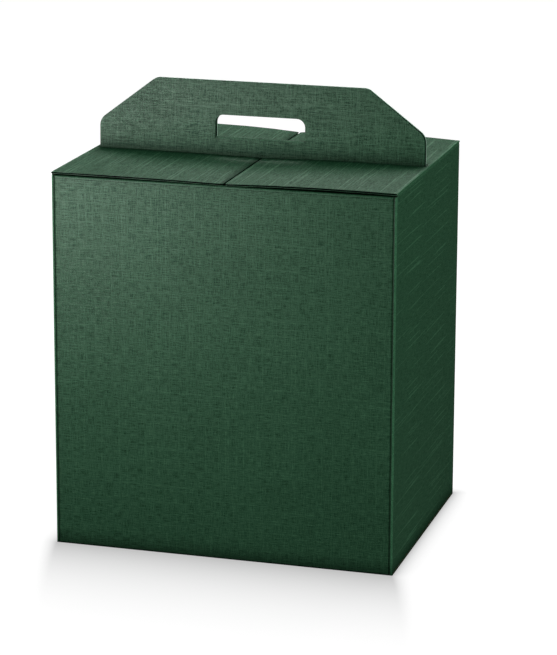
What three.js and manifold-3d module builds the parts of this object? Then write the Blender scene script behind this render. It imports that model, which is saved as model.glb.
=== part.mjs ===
// Gift box with handle: a carton folded from one sheet of micro-corrugated board, linen-embossed
// green outside. Millimetres, +Z up, front at -Y, origin under the middle of the carton.
import * as THREE from 'three';
import { mergeVertices } from 'three/addons/utils/BufferGeometryUtils.js';
import Module from 'manifold-3d';

const wasm = await Module();
wasm.setup();

// Carton, outside
const boxWidth = 360;
const boxDepth = 280;
const boxHeight = 395;          // floor to the top of the side flaps at their folds

// Board and its folds
const board = 2;                // thickness of the board
const cornerRadius = 2.5;       // outside of the four upright folds
const foldRadius = 2.2;         // outside of the other folds
const seatGap = 0.3;            // between sheets that lie on each other
const tuckGap = 1;              // between a flap's side and the wall beside it
const creaseDrop = 3;           // crease of a handle flap, below the flap's top

// Handle: two layers that stand up at mid-depth
const handleInset = 5;          // handle's end, in from the side of the carton
const handleRise = 76.5;        // above the side flaps
const handleEndRise = 30;       // upright end, above the side flaps
const chamferRun = 61;          // sloping end, along the width
const shoulderRadius = 14;
const handleTopRadius = 12;
const baseGap = 6.4;            // between the layers where they leave the carton
const topGap = 2.4;             // between the layers at the top

// Hand hole
const holeWidth = 97;
const holeHeight = 23;
const holeRise = 18.5;          // lower edge, above the side flaps
const holeRadius = 9;           // upper corners
const tabLength = 19;           // tab cut from the hole and folded in behind its lower edge
const tabKerf = 0.5;            // cut at each side of the tab
const backHoleDrop = 3;         // lower edge of the hole in the back layer, below the front one

// Side flaps
const seamOffset = 3;           // meeting line of the two flaps, right of the middle
const seamGap = 1.6;
const flapDroop = 1.2;          // free end, below the fold
const leftFrontCrown = 0.5;     // bow of each flap's two arms above a straight line
const leftBackCrown = 3.4;
const rightFrontCrown = 1.3;
const rightBackCrown = 2.9;
const flapSetback = 0.4;        // flap's front and back edges, in from the walls' faces
const flapCornerRadius = 3;
const slotClearance = 1;        // slot round the handle's base
const slotEndClearance = 1.5;   // slot past the handle's end

// Bottom: side flaps inside, front and back flaps under them, a tongue that locks
const bottomSeamY = -20;
const bottomSeamGap = 0.5;
const tongueWidth = 120;
const tongueReach = 70;         // past the seam, over the back flap
const tongueRamp = 9;
const sideFlapGap = 6;          // bottom side flap's end, beside the tongue
const sideFlapTaper = 14;

// Glue lap inside the back left corner
const lapWidth = 30;
const lapEndGap = 8;            // from the crease above and from the bottom flap below
const seamSlit = 0.4;

const arcSteps = 6;

// Levels that follow from these
const hingeX = boxWidth / 2 - board / 2;
const hingeZ = boxHeight - board / 2;
const sideWallTop = hingeZ - board / 2 - seatGap;
const innerTop = boxHeight - board - flapDroop - seatGap;
const creaseZ = innerTop - creaseDrop;
const innerHalf = boxWidth / 2 - board - tuckGap;
const handleHalf = boxWidth / 2 - handleInset;
const slotEnd = handleHalf + slotEndClearance;
const handleTop = boxHeight + handleRise;
const holeBottom = boxHeight + holeRise;
const lean = (baseGap - topGap) / 2 / (handleTop - innerTop);
const sideBase = board + seatGap;
const tubeBottom = sideBase + foldRadius;
const spare = 5;                // cutters run this far past what they cut

function solidOf(geometry) {
  geometry.deleteAttribute('normal');
  geometry.deleteAttribute('uv');
  const merged = mergeVertices(geometry, 1e-5);
  return new wasm.Manifold(new wasm.Mesh({
    numProp: 3,
    vertProperties: new Float32Array(merged.attributes.position.array),
    triVerts: new Uint32Array(merged.index.array),
  }));
}

function extruded(shape, length, matrix) {
  const geometry = new THREE.ExtrudeGeometry(shape, {
    depth: length, bevelEnabled: false, curveSegments: arcSteps, steps: 1,
  });
  geometry.applyMatrix4(matrix);
  return solidOf(geometry);
}

// Profile in (y, z), run along X between two places
function alongX(shape, x0, x1) {
  const matrix = new THREE.Matrix4().makeBasis(
    new THREE.Vector3(0, 1, 0), new THREE.Vector3(0, 0, 1), new THREE.Vector3(1, 0, 0));
  matrix.setPosition(x0, 0, 0);
  return extruded(shape, x1 - x0, matrix);
}

// Profile in (x, z), run along Y
function alongY(shape, y0, y1) {
  const matrix = new THREE.Matrix4().makeBasis(
    new THREE.Vector3(1, 0, 0), new THREE.Vector3(0, 0, 1), new THREE.Vector3(0, -1, 0));
  matrix.setPosition(0, y1, 0);
  return extruded(shape, y1 - y0, matrix);
}

// Profile in (x, y), run along Z
function alongZ(shape, z0, z1) {
  return extruded(shape, z1 - z0, new THREE.Matrix4().makeTranslation(0, 0, z0));
}

function block(x0, x1, y0, y1, z0, z1) {
  const geometry = new THREE.BoxGeometry(x1 - x0, y1 - y0, z1 - z0);
  geometry.translate((x0 + x1) / 2, (y0 + y1) / 2, (z0 + z1) / 2);
  return solidOf(geometry);
}

// Closed outline through corners [u, v, radius], each rounded by an arc that touches both sides
function roundedOutline(corners) {
  const shape = new THREE.Shape();
  const count = corners.length;
  corners.forEach(([u, v, radius = 0], i) => {
    const corner = new THREE.Vector2(u, v);
    const before = new THREE.Vector2(...corners[(i + count - 1) % count].slice(0, 2));
    const after = new THREE.Vector2(...corners[(i + 1) % count].slice(0, 2));
    const toBefore = before.sub(corner).normalize();
    const toAfter = after.sub(corner).normalize();
    const move = i === 0 ? 'moveTo' : 'lineTo';
    if (radius === 0) {
      shape[move](u, v);
      return;
    }
    const halfAngle = Math.acos(THREE.MathUtils.clamp(toBefore.dot(toAfter), -1, 1)) / 2;
    const reach = radius / Math.tan(halfAngle);
    const start = corner.clone().addScaledVector(toBefore, reach);
    const end = corner.clone().addScaledVector(toAfter, reach);
    const inward = toBefore.clone().add(toAfter).normalize();
    const centre = corner.clone().addScaledVector(inward, radius / Math.sin(halfAngle));
    const a0 = Math.atan2(start.y - centre.y, start.x - centre.x);
    const a1 = Math.atan2(end.y - centre.y, end.x - centre.x);
    const clockwise = toBefore.cross(toAfter) > 0;
    shape[move](start.x, start.y);
    shape.absarc(centre.x, centre.y, radius, a0, a1, clockwise);
  });
  return shape;
}

function rectangle(halfU, halfV, radius) {
  return roundedOutline([
    [-halfU, -halfV, radius], [halfU, -halfV, radius], [halfU, halfV, radius], [-halfU, halfV, radius],
  ]);
}

function mirrored(solid, nx, ny) {
  return solid.mirror([nx, ny, 0]);
}

// The four walls as a sleeve with rounded upright folds
function wallSleeve() {
  const inner = rectangle(boxWidth / 2 - board, boxDepth / 2 - board, Math.max(cornerRadius - board, 0));
  return alongZ(rectangle(boxWidth / 2, boxDepth / 2, cornerRadius), tubeBottom, sideWallTop)
    .subtract(alongZ(inner, tubeBottom - spare, sideWallTop + spare));
}

// Front wall's foot and the flap that folds in from it; its free edge lies at freeY
function bottomFlap(freeY) {
  const face = -boxDepth / 2;
  const profile = roundedOutline([
    [face, 0, foldRadius], [freeY, 0], [freeY, board], [face + board, board],
    [face + board, tubeBottom + spare], [face, tubeBottom + spare],
  ]);
  return alongX(profile, -boxWidth / 2, boxWidth / 2);
}

// Tongue of the front bottom flap: it climbs at the seam and lies on the back flap
function bottomTongue() {
  const level = board + seatGap;
  const rampStart = bottomSeamY - tongueRamp;
  const rampEnd = bottomSeamY - bottomSeamGap;
  const tip = bottomSeamY + tongueReach;
  const profile = roundedOutline([
    [rampStart - spare, 0], [rampStart, 0], [rampEnd, level], [tip, level],
    [tip, level + board], [rampEnd, level + board], [rampStart, board], [rampStart - spare, board],
  ]);
  return alongX(profile, -tongueWidth / 2, tongueWidth / 2);
}

// Right wall's foot with its bottom side flap, which stops beside the tongue
function bottomSideFlap() {
  const face = boxWidth / 2;
  const freeX = tongueWidth / 2 + sideFlapGap;
  const halfY = boxDepth / 2 - board - tuckGap;
  const profile = roundedOutline([
    [freeX, sideBase], [face, sideBase, foldRadius], [face, tubeBottom + spare],
    [face - board, tubeBottom + spare], [face - board, sideBase + board], [freeX, sideBase + board],
  ]);
  const plan = roundedOutline([
    [freeX, -(halfY - sideFlapTaper)], [face - board, -halfY], [face, -halfY],
    [face, halfY], [face - board, halfY], [freeX, halfY - sideFlapTaper],
  ]);
  return alongY(profile, -halfY, halfY).intersect(alongZ(plan, 0, tubeBottom + 2 * spare));
}

function cartonBody() {
  const frontFlap = bottomFlap(bottomSeamY - bottomSeamGap)
    .subtract(block(-tongueWidth / 2 - tabKerf, tongueWidth / 2 + tabKerf,
      bottomSeamY - tongueRamp, bottomSeamY + spare, -spare, board + spare));
  const backFlap = mirrored(bottomFlap(-bottomSeamY), 0, 1);
  const sideFlap = bottomSideFlap();
  const lapFace = boxDepth / 2 - board;
  const glueLap = block(-boxWidth / 2 + board / 2, -boxWidth / 2 + board + lapWidth,
    lapFace - board, lapFace + board / 2,
    sideBase + board + lapEndGap, creaseZ - lapEndGap);
  const outline = alongZ(rectangle(boxWidth / 2, boxDepth / 2, cornerRadius), -spare, boxHeight);

  // Over the creases the front and back walls stop short of their handle flaps, and the upright
  // folds beside them stop under the side flaps' ends
  const wallEnd = creaseZ - seatGap / 2;
  const overFront = block(-innerHalf - seatGap, innerHalf + seatGap,
    -boxDepth / 2 - spare, -boxDepth / 2 + board + tuckGap, wallEnd, boxHeight);
  const overCorners = block(-boxWidth / 2 - spare, boxWidth / 2 + spare,
    -boxDepth / 2 - spare, -boxDepth / 2 + board + tuckGap, innerTop - seatGap, boxHeight);
  const slitX = -boxWidth / 2 + cornerRadius;
  const glueSeam = block(slitX, slitX + seamSlit, lapFace, boxDepth / 2 + spare, tubeBottom, boxHeight);

  return wallSleeve()
    .add(frontFlap).add(bottomTongue()).add(backFlap)
    .add(sideFlap).add(mirrored(sideFlap, 1, 0))
    .intersect(outline)
    .add(glueLap)
    .subtract(overFront).subtract(mirrored(overFront, 0, 1))
    .subtract(overCorners).subtract(mirrored(overCorners, 0, 1))
    .subtract(glueSeam);
}

// Outside face of the front handle layer at a height
function layerFace(z) {
  return -(baseGap / 2 + board) + lean * (z - innerTop);
}

// Front handle flap, cut flat by its outline: it folds in from the wall, then stands up as a layer
function handleFlap() {
  const face = -boxDepth / 2;
  const profile = roundedOutline([
    [face, creaseZ + seatGap / 2], [face + board, creaseZ + seatGap / 2],
    [face + board, innerTop - board], [layerFace(innerTop) + board, innerTop - board, foldRadius],
    [layerFace(handleTop) + board, handleTop], [layerFace(handleTop), handleTop],
    [layerFace(innerTop), innerTop], [face, innerTop, foldRadius],
  ]);
  const shoulderZ = boxHeight + handleEndRise;
  const chamferX = handleHalf - chamferRun;
  const outline = roundedOutline([
    [-innerHalf, creaseZ - spare], [innerHalf, creaseZ - spare], [innerHalf, innerTop], [handleHalf, innerTop],
    [handleHalf, shoulderZ, shoulderRadius], [chamferX, handleTop, handleTopRadius],
    [-chamferX, handleTop, handleTopRadius], [-handleHalf, shoulderZ, shoulderRadius],
    [-handleHalf, innerTop], [-innerHalf, innerTop],
  ]);
  return alongX(profile, -innerHalf, innerHalf)
    .intersect(alongY(outline, -boxDepth / 2 - spare, boxDepth / 2 + spare));
}

function handHole(bottom) {
  const top = holeBottom + holeHeight;
  const outline = roundedOutline([
    [-holeWidth / 2, bottom], [holeWidth / 2, bottom],
    [holeWidth / 2, top, holeRadius], [-holeWidth / 2, top, holeRadius],
  ]);
  return alongY(outline, -baseGap - spare, baseGap + spare);
}

// Tab of the hand hole: it turns over the hole's lower edge and hangs between the layers
function holeTab(turnZ) {
  const innerRadius = seatGap / 2;
  const outerRadius = board + innerRadius;
  const turnY = layerFace(turnZ) + outerRadius;
  const follow = (z) => turnY + lean * (z - turnZ);
  const tipZ = turnZ - tabLength;
  const shape = new THREE.Shape();
  shape.moveTo(turnY - outerRadius, turnZ);
  shape.absarc(turnY, turnZ, outerRadius, Math.PI, 0, true);
  shape.lineTo(follow(tipZ) + outerRadius, tipZ);
  shape.lineTo(follow(tipZ) + innerRadius, tipZ);
  shape.lineTo(turnY + innerRadius, turnZ);
  shape.absarc(turnY, turnZ, innerRadius, 0, Math.PI, false);
  shape.lineTo(follow(turnZ - spare) - innerRadius, turnZ - spare);
  shape.lineTo(follow(turnZ - spare) - outerRadius, turnZ - spare);
  const halfWidth = holeWidth / 2 - tabKerf;
  const plan = roundedOutline([
    [-halfWidth, tipZ, holeRadius], [halfWidth, tipZ, holeRadius],
    [halfWidth, holeBottom], [-halfWidth, holeBottom],
  ]);
  return { hanging: alongX(shape, -halfWidth, halfWidth), plan };
}

function frontHandleFlap() {
  const turnZ = holeBottom - board - seatGap / 2;
  const tab = holeTab(turnZ);
  const layer = handleFlap().subtract(handHole(turnZ));
  const trimmed = tab.hanging.intersect(alongY(tab.plan, -baseGap - spare, baseGap + spare));
  return layer.add(trimmed);
}

function backHandleFlap() {
  return mirrored(handleFlap(), 0, 1).subtract(handHole(holeBottom - backHoleDrop));
}

// One arm of the flap that folds in from the right wall and ends at freeX; its fold is a half round
// on the hinge line
function flapArm(freeX, crown, nearY, farY) {
  const midX = (slotEnd + freeX) / 2;
  // the bow passes half way between this point and the straight line
  const midTop = boxHeight - flapDroop / 2 + 2 * crown;
  const profile = new THREE.Shape();
  profile.moveTo(hingeX, boxHeight);
  profile.lineTo(slotEnd, boxHeight);
  profile.quadraticCurveTo(midX, midTop, freeX, boxHeight - flapDroop);
  profile.lineTo(freeX, boxHeight - flapDroop - board);
  profile.quadraticCurveTo(midX, midTop - board, slotEnd, boxHeight - board);
  profile.lineTo(hingeX, boxHeight - board);
  profile.absarc(hingeX, hingeZ, board / 2, -Math.PI / 2, Math.PI / 2, false);
  return alongY(profile, nearY, farY);
}

// Right side flap: a slot from its free end lets it pass round the handle, and its two arms join
// beyond the end of that slot
function sideFlap(freeX, frontCrown, backCrown) {
  const halfY = boxDepth / 2 - flapSetback;
  const slotHalf = baseGap / 2 + board + slotClearance;
  const foldEnd = hingeX + board;
  // the arms overlap at the middle, inside the width of the slot
  const overlap = slotHalf / 2;
  const arms = flapArm(freeX, frontCrown, -halfY, overlap)
    .add(flapArm(freeX, backCrown, -overlap, halfY));
  const plan = roundedOutline([
    [foldEnd, -halfY], [foldEnd, halfY],
    [freeX, halfY, flapCornerRadius], [freeX, slotHalf, flapCornerRadius],
    [slotEnd, slotHalf], [slotEnd, -slotHalf],
    [freeX, -slotHalf, flapCornerRadius], [freeX, -halfY, flapCornerRadius],
  ]);
  return arms.intersect(alongZ(plan, boxHeight - 2 * spare, boxHeight + 2 * spare));
}

const linenGreen = new THREE.MeshStandardMaterial({ color: 0x2f5742, roughness: 0.62, metalness: 0 });
const linenGreenLight = new THREE.MeshStandardMaterial({ color: 0x3a6650, roughness: 0.62, metalness: 0 });

function named(name, solid, material) {
  const { vertProperties, triVerts } = solid.getMesh();
  const geometry = new THREE.BufferGeometry();
  geometry.setAttribute('position', new THREE.BufferAttribute(vertProperties, 3));
  geometry.setIndex(new THREE.BufferAttribute(triVerts, 1));
  geometry.computeVertexNormals();
  const mesh = new THREE.Mesh(geometry, material);
  mesh.name = name;
  return mesh;
}

const leftFreeX = seamOffset - seamGap / 2;
const rightFreeX = seamOffset + seamGap / 2;

const group = new THREE.Group();
group.name = 'gift_box_with_handle';
group.add(named('carton_body', cartonBody(), linenGreen));
group.add(named('front_handle_flap', frontHandleFlap(), linenGreen));
group.add(named('back_handle_flap', backHandleFlap(), linenGreen));
const leftFlap = mirrored(sideFlap(-leftFreeX, leftFrontCrown, leftBackCrown), 1, 0);
group.add(named('left_side_flap', leftFlap, linenGreenLight));
group.add(named('right_side_flap', sideFlap(rightFreeX, rightFrontCrown, rightBackCrown), linenGreenLight));

export default group;
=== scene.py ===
import math
import bpy
from mathutils import Matrix, Vector


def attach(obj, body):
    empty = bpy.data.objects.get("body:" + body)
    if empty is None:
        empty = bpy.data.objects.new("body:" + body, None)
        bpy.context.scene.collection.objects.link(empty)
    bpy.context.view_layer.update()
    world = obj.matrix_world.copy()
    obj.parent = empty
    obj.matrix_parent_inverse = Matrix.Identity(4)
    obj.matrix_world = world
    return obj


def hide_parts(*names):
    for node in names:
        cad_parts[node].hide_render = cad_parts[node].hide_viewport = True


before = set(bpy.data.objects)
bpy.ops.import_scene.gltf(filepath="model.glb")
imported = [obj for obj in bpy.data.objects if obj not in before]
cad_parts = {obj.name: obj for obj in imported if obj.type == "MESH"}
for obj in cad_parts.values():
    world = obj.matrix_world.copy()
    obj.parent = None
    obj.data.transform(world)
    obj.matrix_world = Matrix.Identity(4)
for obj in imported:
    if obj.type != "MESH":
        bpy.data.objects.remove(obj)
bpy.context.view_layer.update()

mm = 0.001
print("gift box: frame loaded")

# Camera: the photograph's view, found from the carton's corners. Its upright edges are nearly
# parallel in the photograph, so a little of the downward tilt is lens shift instead
camera = {
    "azimuth": 16.059,       # degrees to the right of straight on
    "elevation": 13.885,
    "roll": 0.226,
    "aim": (19.37, 0.0, 271.98),   # mm, where the optical axis crosses the middle of the depth
    "distance": 3002.7,      # mm from there
    "focalPixels": 2867.6,   # for an image 557 pixels wide
    "imageWidth": 557,
    "shift": -0.1,           # image widths
    "sensor": 36.0,
}


def addCamera(spec):
    az, el, roll = (math.radians(spec[key]) for key in ("azimuth", "elevation", "roll"))
    forward = Vector((-math.sin(az) * math.cos(el), math.cos(az) * math.cos(el), -math.sin(el)))
    right = Vector((math.cos(az), math.sin(az), 0.0))
    up = right.cross(forward)
    rightRolled = math.cos(roll) * right + math.sin(roll) * up
    upRolled = math.cos(roll) * up - math.sin(roll) * right
    data = bpy.data.cameras.new("photo_camera")
    data.sensor_fit = "HORIZONTAL"
    data.sensor_width = spec["sensor"]
    data.lens = spec["focalPixels"] * spec["sensor"] / spec["imageWidth"]
    data.shift_y = spec["shift"]
    data.clip_end = 100.0
    obj = bpy.data.objects.new("photo_camera", data)
    bpy.context.scene.collection.objects.link(obj)
    place = (Vector(spec["aim"]) - forward * spec["distance"]) * mm
    turn = Matrix((rightRolled, upRolled, -forward)).transposed()
    obj.matrix_world = Matrix.Translation(place) @ turn.to_4x4()
    bpy.context.scene.camera = obj


addCamera(camera)

# Sizes of the carton, in mm, as the frame has them
carton = {
    "width": 360.0,
    "depth": 280.0,
    "height": 395.0,
    "board": 2.0,
    "seatGap": 0.3,          # between sheets that lie on each other
    "cornerRadius": 2.5,
    "foldRadius": 2.2,
    "innerTop": 391.5,       # top of the folded-in part of the handle flaps
    "seamX": 2.2,            # the left side flap's free edge
    "holeWidth": 97.0,
    "holeLow": 413.5,        # lower edge of the hand hole
    "sideTop": 392.7,        # top of the side walls, under the flaps' folds
    "rimDepth": 6.0,         # the walls' upper ends lie this near under the flaps
    "earWidth": 4.0,         # ears at their upper corners, this near to the sides
    "layerFoot": 4.0,        # the handle's layers stand free this far above the flaps
    "linerRise": 0.8,        # the outer liner follows the fold up this far
    "liner": 0.3,            # paper liner on each side of the fluting, as it shows
    "fluteRecess": 0.9,      # crushed fluting lies this far in from the cut
    "recessSlope": 0.02,     # the sunk fluting is this much narrower than the cut
    "near": 0.1,             # a corner counts as being at a place within this
}
halfWidth = carton["width"] / 2
halfDepth = carton["depth"] / 2


def srgb(code):
    # hex colour to linear red, green, blue
    out = []
    for i in (0, 2, 4):
        c = int(code[i:i + 2], 16) / 255
        out.append(c / 12.92 if c <= 0.04045 else ((c + 0.055) / 1.055) ** 2.4)
    return (*out, 1.0)


def addNode(tree, kind, inputs=(), **settings):
    # inputs come in their own order or by name; each is a value, or a node or socket to link from
    node = tree.nodes.new("ShaderNode" + kind)
    for key, value in settings.items():
        setattr(node, key, value)
    given = inputs if isinstance(inputs, dict) else dict(enumerate(inputs))
    for key, value in given.items():
        if isinstance(value, bpy.types.Node):
            value = value.outputs[0]
        if isinstance(value, bpy.types.NodeSocket):
            tree.links.new(value, node.inputs[key])
        else:
            node.inputs[key].default_value = value
    return node


def newMaterial(name):
    material = bpy.data.materials.new(name)
    material.use_nodes = True
    material.node_tree.nodes.clear()
    return material, material.node_tree


# Laminated paper with a linen emboss: crossed threads pressed by an engraved roller
linen = {
    "dark": "0b2918",
    "light": "326344",
    "threadMm": 0.75,        # spacing of the pressed threads
    "upLength": 13.0,        # a thread's length over its spacing, for the ones up the walls
    "acrossLength": 12.0,
    "grainMm": 0.8,
    "upShare": 0.29,         # shares of the threads and of the grain in the weave
    "acrossShare": 0.39,
    "grainShare": 0.32,
    "acrossElsewhere": 0.4,  # how much of the threads across the box shows off the front and back
    "contrast": 1.4,         # how sharply the threads stand out in tone
    "slubMm": 1.7,           # thicker, lighter threads, few and long
    "slubLength": 70.0,
    "slubHeight": 0.6,       # over the height of the weave
    "cloudMm": 60.0,
    "weaveTone": 0.78,       # shares of the weave, the slubs and the clouds in the tone
    "slubTone": 0.45,
    "cloudTone": 0.06,
    "roughness": 0.50,
    "sheenLow": 0.010,       # weight of the lamination's gloss, between the threads and on them
    "sheenHigh": 0.066,
    "sheenIor": 3.0,
    "bumpMm": 0.16,
    "bumpStrength": 0.6,
    "nookMm": 22.0,          # painted shade darkens the paper this near to an inside corner
    "nookShade": 0.14,
    # the valleys and the rolled edge are pressed in by bumps, and darkened with painted shade
    "beadMm": 3.3,           # valley inside a creased upright corner, from that corner
    "beadWidthMm": 1.4,
    "beadDepthMm": 0.55,
    "valleyPaintedShade": 0.8,
    "rollPaintedShade": 0.7,        # painted shade on the rolled edge, over that of the valleys
    "turnMm": 5.0,           # painted highlight over the side folds, this wide
    "paintedHighlight": 0.5,
    "cornerHighlight": 1.6,       # painted highlight of the upright folds, over that of the side folds
    "rollMm": 8.0,           # the left side flap's free edge rolls down over this
    "rollDepthMm": 1.3,
}


def surfacePlane(tree):
    # u and v on whichever plane the face lies in: v is up on the front and back, and depth elsewhere
    facingLimit = 0.7
    coords = addNode(tree, "TexCoord")
    place = addNode(tree, "SeparateXYZ", [coords.outputs["Object"]])
    normal = addNode(tree, "SeparateXYZ", [coords.outputs["Normal"]])
    sizeX = addNode(tree, "Math", [normal.outputs[0]], operation="ABSOLUTE")
    sizeY = addNode(tree, "Math", [normal.outputs[1]], operation="ABSOLUTE")
    toSide = addNode(tree, "Math", [sizeX, facingLimit], operation="GREATER_THAN")
    toFront = addNode(tree, "Math", [sizeY, facingLimit], operation="GREATER_THAN")
    toTop = addNode(tree, "Math", [normal.outputs[2], facingLimit], operation="GREATER_THAN")
    u = addNode(tree, "Mix", {0: toSide, 2: place.outputs[0], 3: place.outputs[2]}, data_type="FLOAT")
    v = addNode(tree, "Mix", {0: toFront, 2: place.outputs[1], 3: place.outputs[2]}, data_type="FLOAT")
    side = addNode(tree, "VectorMath", {0: coords.outputs["Normal"], 3: 0.37}, operation="SCALE")
    return {
        "u": u, "v": v, "side": side, "object": coords.outputs["Object"],
        "x": place.outputs[0], "z": place.outputs[2],
        "sizeX": sizeX, "sizeY": sizeY, "toFront": toFront, "toTop": toTop,
    }


def threadNoise(tree, plane, spacingMm, length, alongV, detail):
    # noise stretched into threads that run along u or v, another pattern on each side of the box
    cross = 1.0 / (spacingMm * mm)
    along = cross / length
    scales = (cross, along) if alongV else (along, cross)
    x = addNode(tree, "Math", [plane["u"], scales[0]], operation="MULTIPLY")
    y = addNode(tree, "Math", [plane["v"], scales[1]], operation="MULTIPLY")
    flat = addNode(tree, "CombineXYZ", [x, y])
    sideStep = (29.0, 31.0, 37.0)
    shifted = addNode(tree, "VectorMath", [plane["side"], sideStep, flat], operation="MULTIPLY_ADD")
    return addNode(tree, "TexNoise", {"Vector": shifted, "Scale": 1.0, "Detail": detail, "Roughness": 0.55})


def linenWeave(tree, plane, spec):
    # fine threads up and across, and grain; the ones across show on the front and back
    upNoise = threadNoise(tree, plane, spec["threadMm"], spec["upLength"], True, 1.0)
    acrossNoise = threadNoise(tree, plane, spec["threadMm"], spec["acrossLength"], False, 1.0)
    grainScale = 1.0 / (spec["grainMm"] * mm)
    grainNoise = addNode(tree, "TexNoise", {"Vector": plane["object"], "Scale": grainScale, "Detail": 1.0})
    up = addNode(tree, "MapRange", {"Value": upNoise, "From Min": 0.30, "From Max": 0.70})
    across = addNode(tree, "MapRange", {"Value": acrossNoise, "From Min": 0.30, "From Max": 0.70})
    grain = addNode(tree, "MapRange", {"Value": grainNoise, "From Min": 0.35, "From Max": 0.65})
    least = spec["acrossElsewhere"]
    shown = addNode(tree, "Math", [plane["toFront"], 1.0 - least, least], operation="MULTIPLY_ADD")
    swing = addNode(tree, "Math", [across, 0.5], operation="SUBTRACT")
    acrossShown = addNode(tree, "Math", [swing, shown, 0.5], operation="MULTIPLY_ADD")
    upPart = addNode(tree, "Math", [up, spec["upShare"]], operation="MULTIPLY")
    crossed = addNode(tree, "Math", [acrossShown, spec["acrossShare"], upPart], operation="MULTIPLY_ADD")
    grained = addNode(tree, "Math", [grain, spec["grainShare"], crossed], operation="MULTIPLY_ADD")
    centred = addNode(tree, "Math", [grained, 0.5], operation="SUBTRACT")
    return addNode(tree, "Math", [centred, spec["contrast"], 0.5], operation="MULTIPLY_ADD", use_clamp=True)


def linenSlubs(tree, plane, spec):
    # the thick threads stand out most along the depth, on the sides and the flaps
    upNoise = threadNoise(tree, plane, spec["slubMm"], spec["slubLength"], True, 0.0)
    acrossNoise = threadNoise(tree, plane, spec["slubMm"], spec["slubLength"], False, 0.0)
    up = addNode(tree, "MapRange", {"Value": upNoise, "From Min": 0.66, "From Max": 0.71})
    across = addNode(tree, "MapRange", {"Value": acrossNoise, "From Min": 0.66, "From Max": 0.71})
    upShown = addNode(tree, "Math", [plane["toFront"], -0.5, 0.75], operation="MULTIPLY_ADD")
    upPart = addNode(tree, "Math", [up, upShown], operation="MULTIPLY")
    acrossShown = addNode(tree, "Math", [plane["toFront"], 0.3], operation="MULTIPLY")
    acrossPart = addNode(tree, "Math", [across, acrossShown], operation="MULTIPLY")
    return addNode(tree, "Math", [upPart, acrossPart], operation="MAXIMUM")


def creaseValleys(tree, plane, spec):
    # 1 along the valley that is pressed inside each creased upright corner of the front and back
    place = (halfWidth - spec["beadMm"]) * mm
    sideways = addNode(tree, "Math", [plane["x"]], operation="ABSOLUTE")
    offset = addNode(tree, "Math", [sideways, place], operation="SUBTRACT")
    distance = addNode(tree, "Math", [offset], operation="ABSOLUTE")
    beside = addNode(tree, "MapRange", {"Value": distance, "From Max": spec["beadWidthMm"] * mm})
    within = addNode(tree, "Math", [1.0, beside], operation="SUBTRACT")
    below = addNode(tree, "Math", [plane["z"], carton["innerTop"] * mm], operation="LESS_THAN")
    onPanel = addNode(tree, "Math", [plane["toFront"], below], operation="MULTIPLY")
    return addNode(tree, "Math", [within, onPanel], operation="MULTIPLY")


def rolledEdge(tree, plane, spec):
    # rises to 1 at the free edge of the left side flap
    edge = carton["seamX"] * mm
    start = edge - spec["rollMm"] * mm
    left = addNode(tree, "Math", [plane["x"], edge], operation="LESS_THAN")
    onFlap = addNode(tree, "Math", [plane["toTop"], left], operation="MULTIPLY")
    rise = addNode(tree, "MapRange", {"Value": plane["x"], "From Min": start, "From Max": edge})
    return addNode(tree, "Math", [onFlap, rise], operation="MULTIPLY")


def foldHighlights(tree, plane, spec):
    # 1 where the board turns over the side folds, and more on the upright ones; a painted highlight is laid
    # there
    turn = (halfWidth - spec["turnMm"]) * mm
    low = (carton["height"] - spec["turnMm"]) * mm
    high = (carton["height"] - carton["board"]) * mm
    sideways = addNode(tree, "Math", [plane["x"]], operation="ABSOLUTE")
    outward = addNode(tree, "MapRange", {"Value": sideways, "From Min": turn, "From Max": halfWidth * mm})
    upward = addNode(tree, "MapRange", {"Value": plane["z"], "From Min": low, "From Max": high})
    turned = addNode(tree, "Math", [outward, upward], operation="MINIMUM")
    slant = addNode(tree, "Math", [plane["sizeX"], plane["sizeY"]], operation="MINIMUM")
    onCorner = addNode(tree, "Math", [slant, 0.3], operation="GREATER_THAN")
    corner = addNode(tree, "Math", [onCorner, spec["cornerHighlight"]], operation="MULTIPLY")
    return addNode(tree, "Math", [turned, corner], operation="MAXIMUM")


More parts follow.
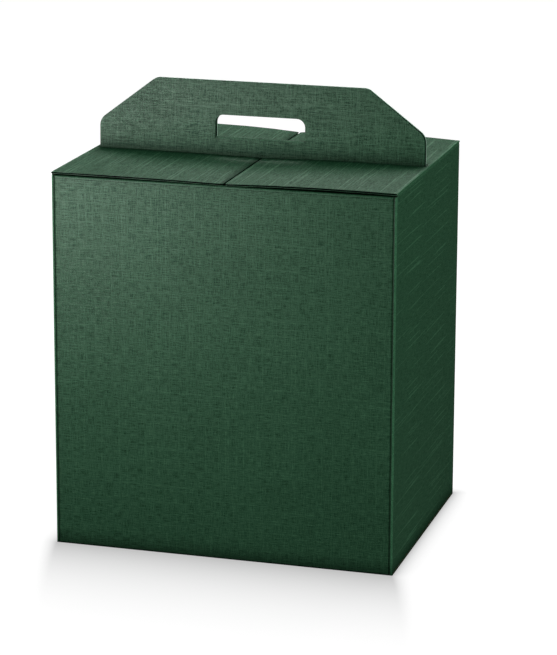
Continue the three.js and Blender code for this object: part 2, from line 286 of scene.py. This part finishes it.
def linenPaper(spec):
    material, tree = newMaterial("linen_embossed_laminated_paper")
    plane = surfacePlane(tree)
    weave = linenWeave(tree, plane, spec)
    slub = linenSlubs(tree, plane, spec)
    valley = creaseValleys(tree, plane, spec)
    rolled = rolledEdge(tree, plane, spec)
    highlit = foldHighlights(tree, plane, spec)

    # tone of the paper, from its threads and from faint clouds
    cloudScale = 1.0 / (spec["cloudMm"] * mm)
    cloudNoise = addNode(tree, "TexNoise", {"Vector": plane["object"], "Scale": cloudScale, "Detail": 3.0})
    cloud = addNode(tree, "MapRange", {"Value": cloudNoise, "From Min": 0.25, "From Max": 0.75})
    cloudPart = addNode(tree, "Math", [cloud, spec["cloudTone"]], operation="MULTIPLY")
    uneven = addNode(tree, "Math", [slub, spec["slubTone"], cloudPart], operation="MULTIPLY_ADD")
    tone = addNode(tree, "Math", [weave, spec["weaveTone"], uneven], operation="MULTIPLY_ADD",
                   use_clamp=True)
    colour = addNode(tree, "Mix", {0: tone, 6: srgb(spec["dark"]), 7: srgb(spec["light"])},
                     data_type="RGBA")

    # painted shade in nooks, valleys and on the rolled edge, and a painted highlight over the folds
    # painted shade: ambient occlusion darkens the paper's colour and its gloss in the inside corners
    nook = addNode(tree, "AmbientOcclusion", {"Distance": spec["nookMm"] * mm}, samples=8)
    shade = addNode(tree, "MapRange", {"Value": nook.outputs["AO"], "From Min": 0.35, "From Max": 0.95,
                                       "To Min": spec["nookShade"]})
    rollPart = addNode(tree, "Math", [rolled, spec["rollPaintedShade"]], operation="MULTIPLY")
    sunk = addNode(tree, "Math", [valley, rollPart], operation="MAXIMUM")
    dimmed = addNode(tree, "Math", [sunk, -spec["valleyPaintedShade"], 1.0], operation="MULTIPLY_ADD")
    shadow = addNode(tree, "Math", [shade, dimmed], operation="MULTIPLY")
    highlightGain = addNode(tree, "Math", [highlit, spec["paintedHighlight"], 1.0], operation="MULTIPLY_ADD")
    paintedLight = addNode(tree, "Math", [shadow, highlightGain], operation="MULTIPLY")
    shaded = addNode(tree, "VectorMath", {0: colour.outputs[2], 3: paintedLight}, operation="SCALE")

    # the pressed lines, and the emboss on top of them
    valleyDrop = addNode(tree, "Math", [valley, -spec["beadDepthMm"] * mm], operation="MULTIPLY")
    rollCurve = addNode(tree, "Math", [rolled, rolled], operation="MULTIPLY")
    pressed = addNode(tree, "Math", [rollCurve, -spec["rollDepthMm"] * mm, valleyDrop],
                      operation="MULTIPLY_ADD")
    lines = addNode(tree, "Bump", {"Strength": 1.0, "Distance": 1.0, "Height": pressed})
    emboss = addNode(tree, "Math", [slub, spec["slubHeight"], weave], operation="MULTIPLY_ADD")
    bump = addNode(tree, "Bump", {"Strength": spec["bumpStrength"], "Distance": spec["bumpMm"] * mm,
                                  "Height": emboss, "Normal": lines})

    # the lamination's gloss is a coat, stronger on the threads, and scaled with the painted shade and
    # highlight
    gloss = addNode(tree, "MapRange", {"Value": tone, "To Min": spec["sheenLow"],
                                       "To Max": spec["sheenHigh"]})
    coat = addNode(tree, "Math", [gloss, paintedLight], operation="MULTIPLY")
    shader = addNode(tree, "BsdfPrincipled", {
        "Base Color": shaded, "Roughness": 1.0, "Specular IOR Level": 0.0, "Normal": bump,
        "Coat Weight": coat, "Coat IOR": spec["sheenIor"], "Coat Roughness": spec["roughness"],
        "Coat Normal": bump,
    })
    addNode(tree, "OutputMaterial", {"Surface": shader})
    return material


# Inside liner: machine-glazed kraft, brown, short fibres
kraft = {
    "dark": "4f3c29",
    "light": "76593c",
    "fibreMm": 0.8,
    "fibreLength": 5.0,      # over its spacing
    "bumpMm": 0.05,
    "roughness": 0.9,
    "gloss": 0.1,
}


def kraftLiner(spec):
    material, tree = newMaterial("kraft_liner_paper")
    plane = surfacePlane(tree)
    fibre = threadNoise(tree, plane, spec["fibreMm"], spec["fibreLength"], True, 3.0)
    tone = addNode(tree, "MapRange", {"Value": fibre, "From Min": 0.3, "From Max": 0.7})
    colour = addNode(tree, "Mix", {0: tone, 6: srgb(spec["dark"]), 7: srgb(spec["light"])},
                     data_type="RGBA")
    bump = addNode(tree, "Bump", {"Strength": 0.2, "Distance": spec["bumpMm"] * mm, "Height": fibre})
    shader = addNode(tree, "BsdfPrincipled", {
        "Base Color": colour.outputs[2], "Roughness": spec["roughness"],
        "Specular IOR Level": spec["gloss"], "Normal": bump,
    })
    addNode(tree, "OutputMaterial", {"Surface": shader})
    return material


# Cut edge: die-cut fluting, crushed and uneven, painted nearly black as the shade in its hollows between
# the liners
fluting = {
    "dark": "020504",
    "light": "0a1511",
    "grainMm": 2.4,
    "low": 0.42,             # the noise between these two goes from dark to light
    "high": 0.70,
    "roughness": 0.95,
}

# Cut edge of the handle: pressed flat by the die, the green paper drawn over it, painted far lighter than
# that paper as a highlight where the edge catches the light
pressedEdgeHighlight = {
    "dark": "6f9580",
    "light": "9cbfa9",
    "grainMm": 1.5,
    "low": 0.30,
    "high": 0.70,
    "roughness": 0.9,
}


def cutEdge(name, spec):
    material, tree = newMaterial(name)
    coords = addNode(tree, "TexCoord")
    scale = 1.0 / (spec["grainMm"] * mm)
    grain = addNode(tree, "TexNoise", {"Vector": coords.outputs["Object"], "Scale": scale, "Detail": 3.0})
    tone = addNode(tree, "MapRange", {"Value": grain, "From Min": spec["low"], "From Max": spec["high"]})
    colour = addNode(tree, "Mix", {0: tone, 6: srgb(spec["dark"]), 7: srgb(spec["light"])},
                     data_type="RGBA")
    shader = addNode(tree, "BsdfPrincipled", {
        "Base Color": colour.outputs[2], "Roughness": spec["roughness"], "Specular IOR Level": 0.0,
    })
    addNode(tree, "OutputMaterial", {"Surface": shader})
    return material


boardMaterials = (
    linenPaper(linen),
    kraftLiner(kraft),
    cutEdge("die_cut_fluting_painted_shade", fluting),
    cutEdge("pressed_paper_edge_painted_highlight", pressedEdgeHighlight),
)
# the cut edges' colour is painted shade, and the pressed edges' colour a painted highlight
outside, inside, cut, pressedHighlight = range(4)
print("gift box: materials made")


def deselectAll():
    if bpy.context.object and bpy.context.object.mode != "OBJECT":
        bpy.ops.object.mode_set(mode="OBJECT")
    bpy.ops.object.select_all(action="DESELECT")


def fitFolds(mesh):
    # the outer liner of the side walls runs up into the flaps' folds, and down straight to their feet
    near = carton["near"]
    footLow = carton["board"] + carton["seatGap"]
    footHigh = footLow + carton["foldRadius"]
    foldX = halfWidth - carton["foldRadius"]
    cornerY = halfDepth - carton["cornerRadius"]
    for vertex in mesh.vertices:
        x, y, z = (abs(value) / mm for value in vertex.co)
        atFoot = footLow - near < z < footHigh + near
        if x > halfWidth - near and abs(z - carton["sideTop"]) < near:
            vertex.co.z += carton["linerRise"] * mm
        if atFoot and x > foldX + near and y < cornerY - near:
            vertex.co.x = math.copysign(halfWidth * mm, vertex.co.x)


def boardFromNode(nodeName, pieceName, body, sideOf, smooth=False):
    # the CAD piece's form as a sheet of board, with its liners, and its cut edges sunk between them
    deselectAll()
    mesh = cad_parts[nodeName].data.copy()
    piece = bpy.data.objects.new(pieceName, mesh)
    bpy.context.scene.collection.objects.link(piece)
    bpy.context.view_layer.objects.active = piece
    piece.select_set(True)
    mesh.materials.clear()
    for material in boardMaterials:
        mesh.materials.append(material)
    bpy.ops.object.mode_set(mode="EDIT")
    bpy.ops.mesh.select_mode(type="FACE")
    bpy.ops.mesh.select_all(action="SELECT")
    bpy.ops.mesh.remove_doubles(threshold=0.005 * mm)
    bpy.ops.mesh.select_all(action="DESELECT")
    bpy.ops.object.mode_set(mode="OBJECT")
    fitFolds(mesh)
    for polygon in mesh.polygons:
        polygon.material_index = sideOf(polygon.center / mm, polygon.normal)
        polygon.select = polygon.material_index == cut
    bpy.ops.object.mode_set(mode="EDIT")
    bpy.ops.mesh.dissolve_limited(angle_limit=math.radians(1), delimit={"NORMAL", "MATERIAL"})
    bpy.ops.mesh.inset(thickness=carton["liner"] * mm, depth=0.0, use_boundary=True)
    bpy.ops.object.mode_set(mode="OBJECT")
    for polygon in mesh.polygons:
        if polygon.material_index == cut and not polygon.select:
            polygon.material_index = outside
    bpy.ops.object.mode_set(mode="EDIT")
    bpy.ops.mesh.inset(thickness=carton["recessSlope"] * mm, depth=-carton["fluteRecess"] * mm,
                       use_boundary=True)
    bpy.ops.object.mode_set(mode="OBJECT")
    if smooth:
        bpy.ops.object.shade_smooth_by_angle(angle=math.radians(32))
    deselectAll()
    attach(piece, body)
    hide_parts(nodeName)


def bodySide(place, normal):
    # which side of the board a face of the walls and the bottom is on
    dx = max(abs(place.x) - (halfWidth - carton["cornerRadius"]), 0.0)
    dy = max(abs(place.y) - (halfDepth - carton["cornerRadius"]), 0.0)
    atFoot = place.z < 2 * carton["board"] + carton["foldRadius"]
    atRim = place.z > carton["innerTop"] - carton["rimDepth"]
    if math.hypot(dx, dy) > carton["cornerRadius"] - 0.15 and abs(normal.z) < 0.3:
        return outside
    if atFoot and (normal.z < 0.2 or dx > 0 or dy > 0):
        return outside
    if atRim and (dx > 0 and dy > 0 or abs(place.x) > halfWidth - carton["earWidth"]):
        return outside
    return cut if atRim and normal.z > 0.7 else inside


def handleSide(front):
    # the same for a handle flap; the front one's hole has the tab turned in over its lower edge
    top = carton["innerTop"]
    tabWidth = carton["holeWidth"] / 2 + carton["near"]
    tabLow = carton["holeLow"] - carton["board"] - 0.6
    tabHigh = carton["holeLow"] + 0.5

    def side(place, normal):
        outward = -normal.y if front else normal.y
        if outward > 0.5 or (normal.z > 0.5 and abs(place.z - top) < 0.3):
            return outside
        if place.z < top + 0.2 and outward > -0.2 and abs(normal.x) < 0.5 and normal.z > -0.9:
            return outside
        if front and abs(place.x) < tabWidth and tabLow < place.z < tabHigh:
            return outside
        if abs(normal.y) > 0.5:
            return outside if place.z > top + carton["layerFoot"] else inside
        if normal.z < -0.5 and place.z < top:
            return inside
        # the back flap's cut edges take the pressed edge's painted highlight
        return outside if front else pressedHighlight
    return side


def flapSide(place, normal):
    # the same for a side flap, whose fold is a half round of the board's thickness
    if abs(place.x) > halfWidth - carton["board"] / 2 - 0.05:
        return outside if abs(normal.y) < 0.5 else cut
    if normal.z > 0.5:
        return outside
    return inside if normal.z < -0.5 else cut


boardFromNode("carton_body", "carton_walls", "carton", bodySide)
boardFromNode("front_handle_flap", "front_handle_board", "carton", handleSide(True))
boardFromNode("back_handle_flap", "back_handle_board", "carton", handleSide(False))
boardFromNode("left_side_flap", "left_flap_board", "left_flap", flapSide, smooth=True)
boardFromNode("right_side_flap", "right_flap_board", "right_flap", flapSide, smooth=True)
print("gift box: board pieces made")

# Studio: a white sweep whose glowing white has a painted shadow round the foot of the box
studio = {
    "floorSize": 60.0,
    "floorColour": "585858",     # what the light bounces from, near the box
    "shadowDepth": 0.52,         # painted shadow: the white is this much darker at the box's foot
    "fadeMm": 90.0,              # and comes back over this, out from the box's front
    "lean": 0.3,                 # it leans to the right as it comes forward
    "sideFactor": 10.0,          # and this many times sooner out from its other sides
    "worldStrength": 0.08,
}

# Softboxes: one near the upper left corner, one overhead and one at the right, and fills for the other
# sides. A sheen lamp gives only the paper's gloss, and a colour lamp only the light on its colour
lamps = {
    "key_softbox": {"place": (-0.45, -0.75, 0.55), "aim": (-0.10, -0.14, 0.36), "size": (0.4, 0.4),
                    "spread": 85.0, "watts": 1.4, "lights": "all"},
    "key_sheen": {"place": (-0.34, -0.54, 0.42), "aim": (-0.12, -0.14, 0.36), "size": (0.34, 0.34),
                  "spread": 120.0, "watts": 4.2, "lights": "sheen"},
    "top_softbox": {"place": (0.0, 0.5, 1.2), "aim": (0.0, 0.0, 0.39), "size": (0.9, 0.5),
                    "spread": 180.0, "watts": 8.5, "lights": "all"},
    "top_sheen": {"place": (0.0, 0.5, 1.2), "aim": (0.0, 0.0, 0.39), "size": (0.9, 0.5),
                  "spread": 180.0, "watts": 47.0, "lights": "sheen"},
    "right_softbox": {"place": (1.5, -0.6, 1.0), "aim": (0.1, 0.0, 0.2), "size": (0.8, 0.8),
                      "spread": 180.0, "watts": 15.5, "lights": "all"},
    "back_fill": {"place": (-0.8, 1.6, 0.4), "aim": (0.0, 0.0, 0.2), "size": (0.9, 0.9),
                  "spread": 180.0, "watts": 16.0, "lights": "colour"},
    "left_fill": {"place": (-1.6, 0.2, 0.4), "aim": (0.0, 0.0, 0.2), "size": (0.9, 0.9),
                  "spread": 180.0, "watts": 12.0, "lights": "colour"},
}


def whiteSweep(spec):
    # seen directly it is a glowing white with a painted shadow, and the lamps' own shadows; to bounced
    # light it is a plain grey
    material, tree = newMaterial("white_sweep_painted_shadow")
    bounced = addNode(tree, "BsdfDiffuse", {"Color": srgb(spec["floorColour"])})
    coords = addNode(tree, "TexCoord")
    place = addNode(tree, "SeparateXYZ", [coords.outputs["Object"]])
    outBack = addNode(tree, "Math", [place.outputs[1], halfDepth * mm], operation="SUBTRACT")
    forward = addNode(tree, "Math", [place.outputs[1], -1.0], operation="MULTIPLY")
    outFront = addNode(tree, "Math", [forward, halfDepth * mm], operation="SUBTRACT")
    behind = addNode(tree, "Math", [outBack, 0.0], operation="MAXIMUM")
    ahead = addNode(tree, "Math", [outFront, 0.0], operation="MAXIMUM")
    leaning = addNode(tree, "Math", [ahead, -spec["lean"], place.outputs[0]], operation="MULTIPLY_ADD")
    sideways = addNode(tree, "Math", [leaning], operation="ABSOLUTE")
    outSide = addNode(tree, "Math", [sideways, halfWidth * mm], operation="SUBTRACT")
    beside = addNode(tree, "Math", [outSide, 0.0], operation="MAXIMUM")
    awayX = addNode(tree, "Math", [beside, spec["sideFactor"]], operation="MULTIPLY")
    awayY = addNode(tree, "Math", [behind, spec["sideFactor"], ahead], operation="MULTIPLY_ADD")
    away = addNode(tree, "CombineXYZ", [awayX, awayY])
    distance = addNode(tree, "VectorMath", [away], operation="LENGTH").outputs["Value"]
    # painted shadow: the glow dims towards the box's foot
    steps = addNode(tree, "Math", [distance, -1.0 / (spec["fadeMm"] * mm)], operation="MULTIPLY")
    shadowFade = addNode(tree, "Math", [steps], operation="EXPONENT")
    white = addNode(tree, "Math", [shadowFade, -spec["shadowDepth"], 1.0], operation="MULTIPLY_ADD")
    glow = addNode(tree, "Emission", {"Color": (1, 1, 1, 1), "Strength": white})
    both = addNode(tree, "AddShader", [bounced, glow])
    path = addNode(tree, "LightPath").outputs
    shiny = addNode(tree, "Math", [path["Is Glossy Ray"], path["Is Transmission Ray"]], operation="MAXIMUM")
    direct = addNode(tree, "Math", [path["Is Camera Ray"], shiny], operation="MAXIMUM")
    mixed = addNode(tree, "MixShader", [direct, bounced, both])
    addNode(tree, "OutputMaterial", {"Surface": mixed})
    return material


def addFloor(spec):
    deselectAll()
    bpy.ops.mesh.primitive_plane_add(size=spec["floorSize"], location=(0, 0, 0))
    floor = bpy.context.object
    floor.name = "studio_floor"
    floor.data.materials.append(whiteSweep(spec))


def addLamp(name, spec):
    data = bpy.data.lights.new(name, "AREA")
    data.shape = "RECTANGLE"
    data.size, data.size_y = spec["size"]
    data.energy = spec["watts"]
    data.spread = math.radians(spec["spread"])
    obj = bpy.data.objects.new(name, data)
    bpy.context.scene.collection.objects.link(obj)
    place = Vector(spec["place"])
    turn = (Vector(spec["aim"]) - place).to_track_quat("-Z", "Y").to_matrix().to_4x4()
    obj.matrix_world = Matrix.Translation(place) @ turn
    obj.visible_camera = False
    obj.visible_diffuse = spec["lights"] != "sheen"
    obj.visible_glossy = spec["lights"] != "colour"


def addWorld(spec):
    world = bpy.data.worlds.new("studio_world")
    world.use_nodes = True
    tree = world.node_tree
    tree.nodes.clear()
    soft = addNode(tree, "Background", {"Color": (1, 1, 1, 1), "Strength": spec["worldStrength"]})
    addNode(tree, "OutputWorld", {"Surface": soft})
    bpy.context.scene.world = world


addFloor(studio)
for name, spec in lamps.items():
    addLamp(name, spec)
addWorld(studio)
bpy.context.scene.view_settings.view_transform = "Standard"
print("gift box: studio made")
